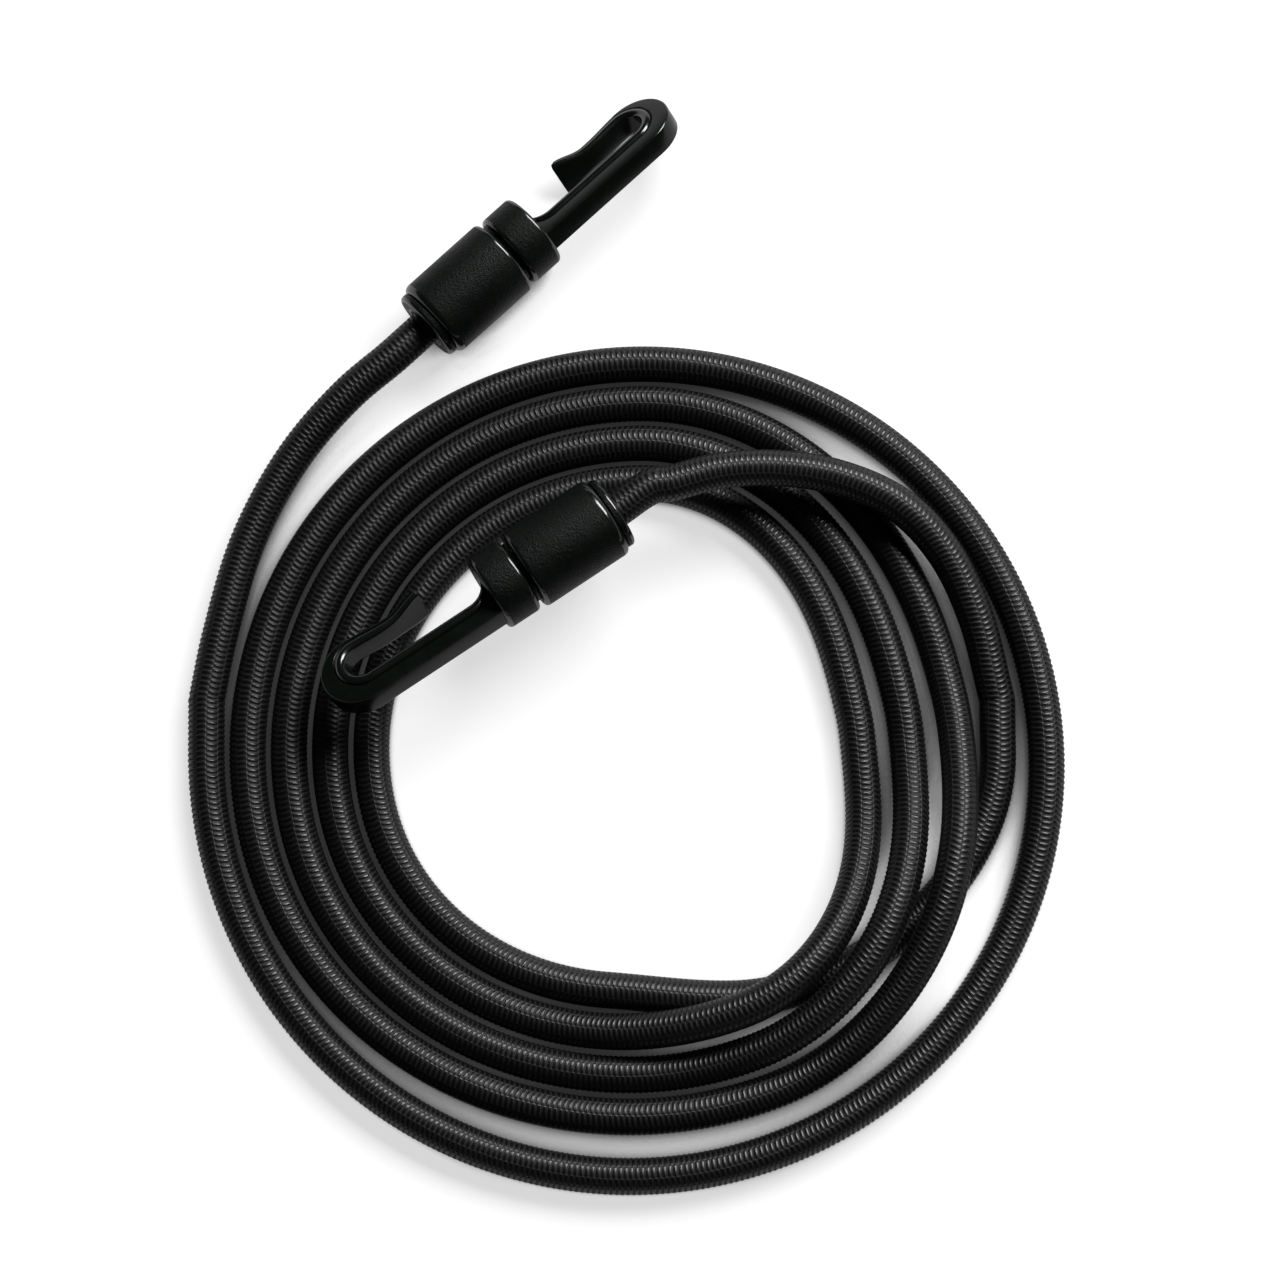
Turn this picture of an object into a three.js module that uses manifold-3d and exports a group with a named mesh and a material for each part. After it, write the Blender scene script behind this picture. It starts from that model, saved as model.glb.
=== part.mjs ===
// A bungee cord that lies coiled up, with a moulded swivel hook at each end.
// Millimetres, +Z up. It lies on the plane Z = 0 with the origin under the middle of its box,
// and +X is the way hook A points.
import * as THREE from "three";
import { mergeVertices } from "three/addons/utils/BufferGeometryUtils.js";
import Module from "manifold-3d";

const wasm = await Module();
wasm.setup();

// Fits
const SEAT_GAP = 0.3; // between pieces that sit on or in each other
const SWING_GAP = 0.6; // between the turning hook B and the turns under it

// Cord: a rubber core in a braided sleeve
const CORD_DIAMETER = 10;
const SLEEVE_WALL = 1.2;
const SLEEVE_SIDES = 8;
const CORE_SIDES = 6;

// Coil: a flat spiral from the outside in, whose inner end dives out under three turns
const OUTER_TURN_RADIUS = 115.7;
const COIL_TURNS = 4.5;
const COIL_START = 137; // direction of its outer end from the middle, in degrees
const TURN_GAP = 1.1; // between neighbouring turns
const TURN_STEPS = 24;
const PRESSED_FLAT = 1; // depth of the flat that the floor presses into the cord
const TAIL_GAP = 3; // between the tail and the outermost turn beside it
const TAIL_ROOM = 11.2; // how far the inner turns give way to the tail
const TAIL_ROOM_GROWTH = 2; // added to that with every turn inward
const GIVE_WAY_FROM = 0.31; // the part of a turn at which it begins to give way
const GIVE_WAY_LENGTH = 0.2;
const COME_BACK_FROM = 0.53; // the part of a turn at which it begins to come back
const COME_BACK_TO = 0.75;
const SLACK = 4.5; // extra gap inside the outermost turn, where it lies loosest
const SLACK_MIDDLE = 0.25; // the part of a turn at which that is
const SLACK_REACH = 0.22;
const DIVE_FROM = 4.23; // the turn at which the tail leaves the spiral
const TURNS_ABOVE_TAIL = 3;
const CROSSING_GAP = 1.7; // between the tail and each turn that humps over it
const HUMP_LENGTH = 134;

// Leads from the coil to the fittings: direction from the middle, in degrees, distance outside the
// outermost turn's radius and share of the climb to the fitting's axis
const LEAD_A_POINTS = [[121, 1.4, 0.02], [108, 4.6, 0.1], [96, 7.6, 0.36], [86, 9.4, 0.8]];
const LEAD_B_POINTS = [
  [-21, -17.3, 0.2],
  [-10, -17, 0.37],
  [0, -19.1, 0.56],
  [10, -24.7, 0.7],
  [20, -31.6, 0.82],
  [30, -38.4, 0.91],
  [40, -45.1, 0.98],
];
const LEAD_A_STEPS = 10;
const LEAD_B_STEPS = 14;
const LEAD_RUN_OUT = 4; // straight run of a lead out of the coil
const LEAD_RUN_IN = 12; // straight run of a lead before its fitting

// Fittings: the place of the barrel's rear end as for the leads, the heading of the axis and the
// hook's roll, in degrees
const FITTING_A = { name: "a", direction: 72.5, outside: 14.3, heading: 0, roll: -42 };
const FITTING_B = { name: "b", direction: 54.2, outside: -53.9, heading: 170.9, roll: 208 };
const ROUND_SIDES = 32; // facets round the fittings
const EDGE_STEPS = 3; // facets across a rounded edge

// Barrel, with the crimped end of the cord inside
const BARREL_DIAMETER = 23;
const BARREL_WALL = 2.6;
const BARREL_FRONT_WALL = 3.2;
const BARREL_REAR_EDGE = 2;
const BARREL_FRONT_EDGE = 1.2;
const BARREL_FREE_ROOM = 3.3; // between the cord's end and the hook's spigot
const CAP_STEP = 1.3; // how much smaller the cap's rim is than the barrel, on the radius
const CAP_RIM = 2;
const CAP_EDGE = 1;
const CAP_PLUG = 5; // length of the cap inside the barrel
const CAP_MOUTH = 1.2; // rounding of the hole where the cord comes in
const STOP_WASHER_THICKNESS = 1.2;
const FERRULE_LENGTH = 9;
const FERRULE_WALL = 1.5;
const FERRULE_CRIMP = 0.5; // depth of its two crimped grooves
const CORD_STUB = 1; // cord past the ferrule

// Swivel: the hook's spigot, a washer in the gap and a clip behind the barrel's front wall
const SPIGOT_DIAMETER = 10;
const SPIGOT_TIP = 2;
const SPIGOT_CHAMFER = 0.6;
const SWIVEL_WASHER_THICKNESS = 0.7;
const SWIVEL_WASHER_RIM = 4;
const CLIP_THICKNESS = 1.2;
const CLIP_SEAT = 1.2; // depth of the groove that holds the clip
const CLIP_LIP = 2.2; // how far the clip stands out of the spigot
const CLIP_MOUTH = 70; // opening of the clip, in degrees
const CLIP_SEGMENTS = 14;

// Hook: lengths run from the collar's front face, widths from the swivel axis
const COLLAR_DIAMETER = 22;
const COLLAR_LENGTH = 10;
const COLLAR_EDGE = 1.2;
const SHANK_INSET = 1.3; // of the shank's outer side from the collar's rim
const SHANK_WIDTH = 7.5;
const THROAT = 9.4;
const LEG_WIDTH = 4;
const HOOK_REACH = 50;
const BEND_THICKNESS = 7.7;
const BEND_STEPS = 13; // odd, so that a facet faces straight back at the crown of the bend
const NECK_REACH = 26; // where the return leg comes nearest to the shank
const NECK_BULGE = 0.5;
const NECK_WIDTH = 3.3;
const TIP_REACH = 15.5;
const TIP_FLARE = 2.2; // how far the tip turns out
const TIP_WIDTH = 2.4;
const TIP_SLANT = 1.8; // how much longer the tip is on its inner side
const LEG_STEPS = 8;
const ROOT_FILLET = 6; // between the collar's front and the inner side of the shank
const ROOT_STEPS = 3;
const ROOT_DEPTH = 4; // of the shank inside the collar
const LIMB_THICKNESS = 7.5;
const TIP_THICKNESS = 11;
const BEAD_WIDTH = 3; // raised bead round the eye
const BEAD_ROUND = 1.2;
const BAND_DROP = 0.65; // of the flat band beside the bead
const BAND_LEAST = 1;
const GROOVE_DEPTH = 0.5;
const BAND_CHAMFER = 0.4;

// Finishes
const BLACK_BRAID = { color: 0x1c1d1e, roughness: 0.75, metalness: 0 };
const GREY_RUBBER = { color: 0x77736b, roughness: 0.9, metalness: 0 };
const BLACK_NYLON = { color: 0x141816, roughness: 0.4, metalness: 0 };
const BLACK_ACETAL = { color: 0x101112, roughness: 0.5, metalness: 0 };
const ZINC_STEEL = { color: 0xb4b7ba, roughness: 0.35, metalness: 1 };
const SOFT_ALUMINIUM = { color: 0xc2c4c5, roughness: 0.45, metalness: 1 };

// Sizes that follow from those above
const CORD_RADIUS = CORD_DIAMETER / 2;
const CORE_RADIUS = CORD_RADIUS - SLEEVE_WALL - SEAT_GAP;
const LAY_HEIGHT = CORD_RADIUS - PRESSED_FLAT; // of the cord's middle where it lies on the floor
const TURN_PITCH = CORD_DIAMETER + TURN_GAP;
const BARREL_RADIUS = BARREL_DIAMETER / 2;
const BORE_RADIUS = BARREL_RADIUS - BARREL_WALL;
const SPIGOT_RADIUS = SPIGOT_DIAMETER / 2;
const CORD_HOLE_RADIUS = CORD_RADIUS + SEAT_GAP;
const SPIGOT_HOLE_RADIUS = SPIGOT_RADIUS + SEAT_GAP;
const COLLAR_RADIUS = COLLAR_DIAMETER / 2;

// Places along a fitting's axis, from the barrel's rear end
const CAP_REAR = -SEAT_GAP - CAP_RIM;
const STOP_WASHER_AT = CAP_PLUG + SEAT_GAP;
const FERRULE_AT = STOP_WASHER_AT + STOP_WASHER_THICKNESS + SEAT_GAP;
const CORD_END = FERRULE_AT + FERRULE_LENGTH + CORD_STUB;
const SPIGOT_END = CORD_END + BARREL_FREE_ROOM;
const CLIP_AT = SPIGOT_END + SPIGOT_TIP + SEAT_GAP;
const FRONT_WALL_AT = CLIP_AT + CLIP_THICKNESS + SEAT_GAP;
const BARREL_LENGTH = FRONT_WALL_AT + BARREL_FRONT_WALL;
const SWIVEL_WASHER_AT = BARREL_LENGTH + SEAT_GAP;
const COLLAR_AT = SWIVEL_WASHER_AT + SWIVEL_WASHER_THICKNESS + SEAT_GAP;
const COLLAR_FRONT = COLLAR_AT + COLLAR_LENGTH;

const radians = THREE.MathUtils.degToRad;

function piece(name, geometry, finish) {
  const mesh = new THREE.Mesh(geometry, new THREE.MeshStandardMaterial(finish));
  mesh.name = name;
  return mesh;
}

function meshGeometry(positions, triangles) {
  const geometry = new THREE.BufferGeometry();
  geometry.setAttribute("position", new THREE.Float32BufferAttribute(positions, 3));
  geometry.setIndex(triangles);
  return geometry;
}

// Triangles that close a flat outline with holes, all turning the same way
function capTriangles(outline, holes) {
  const points = [outline, ...holes].flat();
  return THREE.ShapeUtils.triangulateShape(outline, holes).map(([a, b, c]) =>
    THREE.ShapeUtils.area([points[a], points[b], points[c]]) > 0 ? [a, b, c] : [a, c, b],
  );
}

// A solid through rings of points that match one to one. The loops give, for each closed outline
// of a ring, its first point, its count and whether it bounds a hole.
function skin(rings, loops, caps) {
  const count = rings[0].length;
  const triangles = [];
  for (let ring = 0; ring + 1 < rings.length; ring++) {
    for (const { first, sides, hole } of loops) {
      for (let side = 0; side < sides; side++) {
        const a = ring * count + first + side;
        const b = ring * count + first + ((side + 1) % sides);
        const [from, to] = hole ? [a, b] : [b, a];
        triangles.push(from, to, to + count, from, to + count, from + count);
      }
    }
  }
  const last = (rings.length - 1) * count;
  for (const [a, b, c] of caps) {
    triangles.push(a, b, c, last + a, last + c, last + b);
  }
  return meshGeometry(rings.flat().flatMap((point) => point.toArray()), triangles);
}

// A solid of revolution about X, from a closed profile of [x, radius] points
function revolve(profile, sides = ROUND_SIDES) {
  const points = profile.map(([x, radius]) => new THREE.Vector2(radius, x));
  const geometry = new THREE.LatheGeometry(points, sides);
  return geometry.rotateZ(-Math.PI / 2);
}

// A quarter-round edge of a profile, from one angle to another about a centre
function roundEdge(x, radius, edge, fromDegrees, toDegrees) {
  return Array.from({ length: EDGE_STEPS + 1 }, (_, step) => {
    const angle = radians(THREE.MathUtils.lerp(fromDegrees, toDegrees, step / EDGE_STEPS));
    return [x + edge * Math.cos(angle), radius + edge * Math.sin(angle)];
  });
}

function solidFrom(geometry) {
  const bare = geometry.clone();
  bare.deleteAttribute("normal");
  bare.deleteAttribute("uv");
  const merged = mergeVertices(bare);
  return new wasm.Manifold(
    new wasm.Mesh({
      numProp: 3,
      vertProperties: new Float32Array(merged.attributes.position.array),
      triVerts: new Uint32Array(merged.index.array),
    }),
  );
}

function geometryFrom(solid) {
  const mesh = solid.getMesh();
  return meshGeometry(mesh.vertProperties, Array.from(mesh.triVerts));
}

// Coil

function turnDirection(turn) {
  return radians(COIL_START) + 2 * Math.PI * turn;
}

// How far a turn gives way to the tail, which passes under it and out beside it
function tailRoom(turn) {
  const inward = Math.floor(turn);
  const part = turn - inward;
  const gone = THREE.MathUtils.smoothstep(part, GIVE_WAY_FROM, GIVE_WAY_FROM + GIVE_WAY_LENGTH);
  const back = THREE.MathUtils.smoothstep(part, COME_BACK_FROM, COME_BACK_TO);
  return inward < 1 ? 0 : (TAIL_ROOM + TAIL_ROOM_GROWTH * inward) * gone * (1 - back);
}

// How much further in the turns inside the outermost one lie where the coil is loose
function slackRoom(turn) {
  const off = (turn - Math.floor(turn) - SLACK_MIDDLE) / SLACK_REACH;
  return turn < 1 || Math.abs(off) > 1 ? 0 : SLACK * (0.5 + 0.5 * Math.cos(Math.PI * off));
}

function spiralRadius(turn) {
  return OUTER_TURN_RADIUS - TURN_PITCH * turn - tailRoom(turn) - slackRoom(turn);
}

// A point on the floor in a direction from the middle, at a distance outside the outermost turn's radius
function aroundCoil(direction, outside) {
  const radius = OUTER_TURN_RADIUS + outside;
  return new THREE.Vector3(radius * Math.cos(radians(direction)), radius * Math.sin(radians(direction)), 0);
}

function coilRadius(turn) {
  const tailRadius = spiralRadius(COIL_TURNS % 1) - CORD_DIAMETER - TAIL_GAP;
  const dive = THREE.MathUtils.smoothstep(turn, DIVE_FROM, COIL_TURNS);
  return THREE.MathUtils.lerp(spiralRadius(turn), tailRadius, dive);
}

// The turn at which the tail passes under the strand that lies a number of turns further out
function crossingTurn(turnsOut) {
  let low = DIVE_FROM;
  let high = COIL_TURNS;
  for (let halving = 0; halving < 40; halving++) {
    const middle = (low + high) / 2;
    if (coilRadius(middle) < spiralRadius(middle - turnsOut)) low = middle;
    else high = middle;
  }
  return low - turnsOut;
}

const CROSSINGS = Array.from({ length: TURNS_ABOVE_TAIL }, (_, index) => crossingTurn(index + 1));

function coilHeight(turn) {
  const lifts = CROSSINGS.map((crossing) => {
    const along = 2 * Math.PI * spiralRadius(crossing) * (turn - crossing);
    return 0.5 + 0.5 * Math.cos(Math.PI * THREE.MathUtils.clamp((2 * along) / HUMP_LENGTH, -1, 1));
  });
  return LAY_HEIGHT + (CORD_DIAMETER + CROSSING_GAP) * Math.max(...lifts);
}

function coilPoint(turn) {
  const direction = turnDirection(turn);
  const radius = coilRadius(turn);
  return new THREE.Vector3(radius * Math.cos(direction), radius * Math.sin(direction), coilHeight(turn));
}

// Way out of the coil at one of its ends
function coilWayOut(turn, inward) {
  const small = inward * 1e-4;
  return coilPoint(turn).sub(coilPoint(turn + small)).normalize();
}

const WAY_OUT_A = coilWayOut(0, 1);
const WAY_OUT_B = coilWayOut(COIL_TURNS, -1);
const COIL_END_A = coilPoint(0).addScaledVector(WAY_OUT_A, CORD_DIAMETER);
const COIL_END_B = coilPoint(COIL_TURNS).addScaledVector(WAY_OUT_B, CORD_DIAMETER);

function coilPath() {
  const steps = Math.round(COIL_TURNS * TURN_STEPS);
  const turns = Array.from({ length: steps + 1 }, (_, step) => coilPoint((COIL_TURNS * step) / steps));
  return [COIL_END_A, ...turns, COIL_END_B];
}

// Hook: the limb's inner and outer sides in its own plane, with the shank at -Y

const SHANK_OUTER = -COLLAR_RADIUS + SHANK_INSET;
const SHANK_INNER = SHANK_OUTER + SHANK_WIDTH;
const LEG_INNER = SHANK_INNER + THROAT;
const LEG_OUTER = LEG_INNER + LEG_WIDTH;

function station(inner, outer, thickness = LIMB_THICKNESS) {
  return {
    inner: new THREE.Vector2(COLLAR_FRONT + inner[0], inner[1]),
    outer: new THREE.Vector2(COLLAR_FRONT + outer[0], outer[1]),
    thickness,
  };
}

function shankStations() {
  const root = Array.from({ length: ROOT_STEPS + 1 }, (_, step) => {
    const angle = (Math.PI / 2) * (step / ROOT_STEPS);
    const x = ROOT_FILLET * (1 - Math.cos(angle));
    return station([x, SHANK_INNER + ROOT_FILLET * (1 - Math.sin(angle))], [x, SHANK_OUTER]);
  });
  return [station([-ROOT_DEPTH, SHANK_INNER + ROOT_FILLET], [-ROOT_DEPTH, SHANK_OUTER]), ...root];
}

function bendStations() {
  const innerRadius = THROAT / 2;
  const outerRadius = (LEG_OUTER - SHANK_OUTER) / 2;
  const innerX = HOOK_REACH - BEND_THICKNESS - innerRadius;
  const outerX = HOOK_REACH - outerRadius;
  const innerY = SHANK_INNER + innerRadius;
  const outerY = SHANK_OUTER + outerRadius;
  return Array.from({ length: BEND_STEPS + 1 }, (_, step) => {
    const angle = Math.PI * (step / BEND_STEPS - 0.5);
    const across = Math.cos(angle);
    const along = Math.sin(angle);
    return station(
      [innerX + innerRadius * across, innerY + innerRadius * along],
      [outerX + outerRadius * across, outerY + outerRadius * along],
    );
  });
}

function legStations(bend) {
  const { inner, outer } = bend;
  const neckInner = LEG_INNER - NECK_BULGE;
  const neckX = COLLAR_FRONT + NECK_REACH;
  const tipX = COLLAR_FRONT + TIP_REACH;
  const tipInner = neckInner + TIP_FLARE;
  const innerSide = new THREE.SplineCurve([
    inner,
    new THREE.Vector2(neckX, neckInner),
    new THREE.Vector2(tipX, tipInner),
  ]);
  const outerSide = new THREE.SplineCurve([
    outer,
    new THREE.Vector2(neckX, neckInner + NECK_WIDTH),
    new THREE.Vector2(tipX + TIP_SLANT, tipInner + TIP_WIDTH),
  ]);
  return Array.from({ length: LEG_STEPS }, (_, step) => {
    const share = (step + 1) / LEG_STEPS;
    const flared = THREE.MathUtils.smoothstep(share, 0.5, 1);
    return {
      inner: innerSide.getPoint(share),
      outer: outerSide.getPoint(share),
      thickness: THREE.MathUtils.lerp(LIMB_THICKNESS, TIP_THICKNESS, flared),
    };
  });
}

// The limb's section as [distance from its inner side, height] points: a bead, a groove and a flat band
function limbSection(width, thickness) {
  const top = thickness / 2;
  const bead = Math.min(BEAD_WIDTH, width - BAND_LEAST);
  const band = width - bead;
  const level = top - BAND_DROP;
  const chamfer = Math.min(BAND_CHAMFER, band / 4);
  const half = [
    [0, top - BEAD_ROUND],
    [bead * 0.2, top - BEAD_ROUND * 0.25],
    [bead * 0.5, top],
    [bead * 0.8, top - BEAD_ROUND * 0.25],
    [bead, level - GROOVE_DEPTH],
    [bead + Math.min(GROOVE_DEPTH, band / 3), level],
    [width - chamfer, level],
    [width, level - chamfer],
  ];
  return [...half.map(([across, height]) => [across, -height]), ...half.toReversed()];
}

function limbRing({ inner, outer, thickness }) {
  const across = outer.clone().sub(inner);
  const width = across.length();
  across.normalize();
  return limbSection(width, thickness).map(
    ([along, height]) => new THREE.Vector3(inner.x + across.x * along, inner.y + across.y * along, height),
  );
}

const SHANK = shankStations();
const BEND = bendStations();
const LIMB = [...SHANK, ...BEND, ...legStations(BEND.at(-1))];
const LIMB_RINGS = LIMB.map(limbRing);
const SWING_RADIUS = Math.max(...LIMB_RINGS.flat().map(({ y, z }) => Math.hypot(y, z)));

// How far a rolled hook reaches below its axis
function hookDepth(roll) {
  const down = radians(roll);
  return Math.max(...LIMB_RINGS.flat().map(({ y, z }) => -y * Math.sin(down) - z * Math.cos(down)));
}

function limbGeometry() {
  const first = LIMB[0];
  const outline = limbSection(first.inner.distanceTo(first.outer), first.thickness);
  const caps = capTriangles(outline.map(([across, height]) => new THREE.Vector2(across, height)), []);
  return skin(LIMB_RINGS, [{ first: 0, sides: outline.length, hole: false }], caps);
}

function collarGeometry() {
  const grooveRadius = SPIGOT_RADIUS - CLIP_SEAT;
  return revolve([
    [SPIGOT_END, 0],
    [SPIGOT_END, SPIGOT_RADIUS - SPIGOT_CHAMFER],
    [SPIGOT_END + SPIGOT_CHAMFER, SPIGOT_RADIUS],
    [SPIGOT_END + SPIGOT_TIP, SPIGOT_RADIUS],
    [SPIGOT_END + SPIGOT_TIP, grooveRadius],
    [FRONT_WALL_AT, grooveRadius],
    [FRONT_WALL_AT, SPIGOT_RADIUS],
    [COLLAR_AT, SPIGOT_RADIUS],
    ...roundEdge(COLLAR_AT + COLLAR_EDGE, COLLAR_RADIUS - COLLAR_EDGE, COLLAR_EDGE, 180, 90),
    ...roundEdge(COLLAR_FRONT - COLLAR_EDGE, COLLAR_RADIUS - COLLAR_EDGE, COLLAR_EDGE, 90, 0),
    [COLLAR_FRONT, 0],
  ]);
}

function hookGeometry() {
  return geometryFrom(solidFrom(collarGeometry()).add(solidFrom(limbGeometry())));
}

// Fitting

function barrelGeometry() {
  const rearEdge = Math.min(BARREL_REAR_EDGE, BARREL_WALL - SEAT_GAP);
  const frontEdge = BARREL_FRONT_EDGE;
  return revolve([
    [0, BORE_RADIUS],
    ...roundEdge(rearEdge, BARREL_RADIUS - rearEdge, rearEdge, 180, 90),
    ...roundEdge(BARREL_LENGTH - frontEdge, BARREL_RADIUS - frontEdge, frontEdge, 90, 0),
    [BARREL_LENGTH, SPIGOT_HOLE_RADIUS],
    [FRONT_WALL_AT, SPIGOT_HOLE_RADIUS],
    [FRONT_WALL_AT, BORE_RADIUS],
    [0, BORE_RADIUS],
  ]);
}

function rearCapGeometry() {
  const rimRadius = BARREL_RADIUS - CAP_STEP;
  const mouth = roundEdge(CAP_REAR + CAP_MOUTH, CORD_HOLE_RADIUS + CAP_MOUTH, CAP_MOUTH, 270, 180);
  return revolve([
    ...mouth,
    ...roundEdge(CAP_REAR + CAP_EDGE, rimRadius - CAP_EDGE, CAP_EDGE, 180, 90),
    [-SEAT_GAP, rimRadius],
    [-SEAT_GAP, BORE_RADIUS - SEAT_GAP],
    [CAP_PLUG, BORE_RADIUS - SEAT_GAP],
    [CAP_PLUG, CORD_HOLE_RADIUS],
    mouth[0],
  ]);
}

function ringGeometry(at, thickness, innerRadius, outerRadius) {
  return revolve([
    [at, innerRadius],
    [at, outerRadius],
    [at + thickness, outerRadius],
    [at + thickness, innerRadius],
    [at, innerRadius],
  ]);
}

function ferruleGeometry() {
  const outer = CORD_HOLE_RADIUS + FERRULE_WALL;
  const crimped = outer - FERRULE_CRIMP;
  const shares = [0, 0.15, 0.25, 0.4, 0.6, 0.75, 0.85, 1];
  const outside = shares.map((share, index) => [
    FERRULE_AT + FERRULE_LENGTH * share,
    [2, 5].includes(index) ? crimped : outer,
  ]);
  return revolve([
    [FERRULE_AT, CORD_HOLE_RADIUS],
    ...outside,
    [FERRULE_AT + FERRULE_LENGTH, CORD_HOLE_RADIUS],
    [FERRULE_AT, CORD_HOLE_RADIUS],
  ]);
}

function clipGeometry() {
  const half = radians(CLIP_MOUTH / 2);
  const innerRadius = SPIGOT_RADIUS - CLIP_SEAT + SEAT_GAP;
  const outline = new THREE.Shape();
  outline.absarc(0, 0, SPIGOT_RADIUS + CLIP_LIP, half, 2 * Math.PI - half, false);
  outline.absarc(0, 0, innerRadius, 2 * Math.PI - half, half, true);
  const options = { depth: CLIP_THICKNESS, bevelEnabled: false, curveSegments: CLIP_SEGMENTS };
  const geometry = new THREE.ExtrudeGeometry(outline, options);
  return geometry.rotateY(Math.PI / 2).translate(CLIP_AT, 0, 0);
}

function makeFitting({ name, direction, outside, heading, roll }, height) {
  const washerRadius = SPIGOT_RADIUS + SWIVEL_WASHER_RIM;
  const hook = new THREE.Group();
  hook.add(
    piece(`hook_${name}`, hookGeometry(), BLACK_NYLON),
    piece(
      `swivel_washer_${name}`,
      ringGeometry(SWIVEL_WASHER_AT, SWIVEL_WASHER_THICKNESS, SPIGOT_HOLE_RADIUS, washerRadius),
      BLACK_ACETAL,
    ),
    piece(`swivel_clip_${name}`, clipGeometry(), ZINC_STEEL),
  );
  hook.rotation.x = radians(roll);
  const fitting = new THREE.Group();
  fitting.add(
    hook,
    piece(`barrel_${name}`, barrelGeometry(), BLACK_NYLON),
    piece(`rear_cap_${name}`, rearCapGeometry(), BLACK_NYLON),
    piece(
      `stop_washer_${name}`,
      ringGeometry(STOP_WASHER_AT, STOP_WASHER_THICKNESS, CORD_HOLE_RADIUS, BORE_RADIUS - SEAT_GAP),
      ZINC_STEEL,
    ),
    piece(`crimp_ferrule_${name}`, ferruleGeometry(), SOFT_ALUMINIUM),
  );
  fitting.position.copy(aroundCoil(direction, outside)).setZ(height);
  fitting.rotation.z = radians(heading);
  return fitting;
}

// Cord

function leadPath(coilEnd, wayOut, points, fitting, height, steps) {
  const heading = radians(fitting.heading);
  const axis = new THREE.Vector3(Math.cos(heading), Math.sin(heading), 0);
  const place = aroundCoil(fitting.direction, fitting.outside).setZ(height);
  const onAxis = (at) => place.clone().addScaledVector(axis, at);
  const start = coilEnd.clone().addScaledVector(wayOut, SEAT_GAP);
  const climb = points.map(([direction, outside, share]) => {
    return aroundCoil(direction, outside).setZ(THREE.MathUtils.lerp(LAY_HEIGHT, height, share));
  });
  const curve = new THREE.CatmullRomCurve3([
    start.clone().addScaledVector(wayOut, LEAD_RUN_OUT),
    ...climb,
    onAxis(CAP_REAR - LEAD_RUN_IN),
    onAxis(CAP_REAR - SEAT_GAP),
  ]);
  return [start, ...curve.getSpacedPoints(steps), onAxis(CORD_END)];
}

function sidedRing(radius, sides) {
  return Array.from({ length: sides }, (_, side) => {
    const angle = 2 * Math.PI * ((side + 0.5) / sides - 0.25);
    return new THREE.Vector2(radius * Math.cos(angle), radius * Math.sin(angle));
  });
}

// A tube along a path, with its sides level and nothing of it under the floor
function sweep(path, outline, bore) {
  const up = new THREE.Vector3(0, 0, 1);
  const rings = path.map((point, index) => {
    const next = path[Math.min(index + 1, path.length - 1)];
    const previous = path[Math.max(index - 1, 0)];
    const along = next.clone().sub(previous).normalize();
    const right = along.clone().cross(up).normalize();
    const over = right.clone().cross(along);
    return [outline, ...bore].flat().map((corner) => {
      const at = point.clone().addScaledVector(right, corner.x).addScaledVector(over, corner.y);
      return at.setZ(Math.max(at.z, 0));
    });
  });
  const loops = [{ first: 0, sides: outline.length, hole: false }];
  if (bore.length) loops.push({ first: outline.length, sides: bore[0].length, hole: true });
  return skin(rings, loops, capTriangles(outline, bore));
}

function makeCord(name, path) {
  const outside = sidedRing(CORD_RADIUS, SLEEVE_SIDES);
  const bore = sidedRing(CORD_RADIUS - SLEEVE_WALL, CORE_SIDES);
  const core = sidedRing(CORE_RADIUS, CORE_SIDES);
  return [
    piece(`sleeve_${name}`, sweep(path, outside, [bore]), BLACK_BRAID),
    piece(`core_${name}`, sweep(path, core, []), GREY_RUBBER),
  ];
}

// The least gap between stretches of the cord that are further apart along it than they are wide
function leastGap(path) {
  const spacing = CORD_DIAMETER / 5;
  const apart = 3 * CORD_DIAMETER;
  const points = [];
  let travelled = 0;
  for (let index = 0; index + 1 < path.length; index++) {
    const length = path[index].distanceTo(path[index + 1]);
    const parts = Math.ceil(length / spacing);
    for (let part = 0; part < parts; part++) {
      const at = path[index].clone().lerp(path[index + 1], part / parts);
      points.push({ at, along: travelled + (length * part) / parts });
    }
    travelled += length;
  }
  let least = Infinity;
  points.forEach((one, index) => {
    for (const other of points.slice(index + 1)) {
      if (other.along - one.along > apart) least = Math.min(least, one.at.distanceTo(other.at));
    }
  });
  return { gap: least - CORD_DIAMETER, length: travelled };
}

// Assembly: fitting A lies on the floor, and fitting B on the turns of the coil

const HEIGHT_A = Math.max(hookDepth(FITTING_A.roll), BARREL_RADIUS);
const HEIGHT_B = LAY_HEIGHT + CORD_RADIUS + SWING_GAP + Math.max(SWING_RADIUS, BARREL_RADIUS);

const leadA = leadPath(COIL_END_A, WAY_OUT_A, LEAD_A_POINTS, FITTING_A, HEIGHT_A, LEAD_A_STEPS);
const leadB = leadPath(COIL_END_B, WAY_OUT_B, LEAD_B_POINTS, FITTING_B, HEIGHT_B, LEAD_B_STEPS);
const coil = coilPath();

const measured = leastGap([...leadA.toReversed(), ...coil, ...leadB]);
const length = measured.length.toFixed(0);
console.log(`cord length ${length} mm, least gap to itself ${measured.gap.toFixed(2)} mm`);

const bungee = new THREE.Group();
bungee.add(
  ...makeCord("lead_a", leadA),
  ...makeCord("coil", coil),
  ...makeCord("lead_b", leadB),
  makeFitting(FITTING_A, HEIGHT_A),
  makeFitting(FITTING_B, HEIGHT_B),
);

const middle = new THREE.Box3().setFromObject(bungee, true).getCenter(new THREE.Vector3());
bungee.position.set(-middle.x, -middle.y, 0);

export default bungee;
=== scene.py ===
"""A coiled bungee cord with a moulded swivel hook at each end, on a white floor under soft light."""
import math

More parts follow.
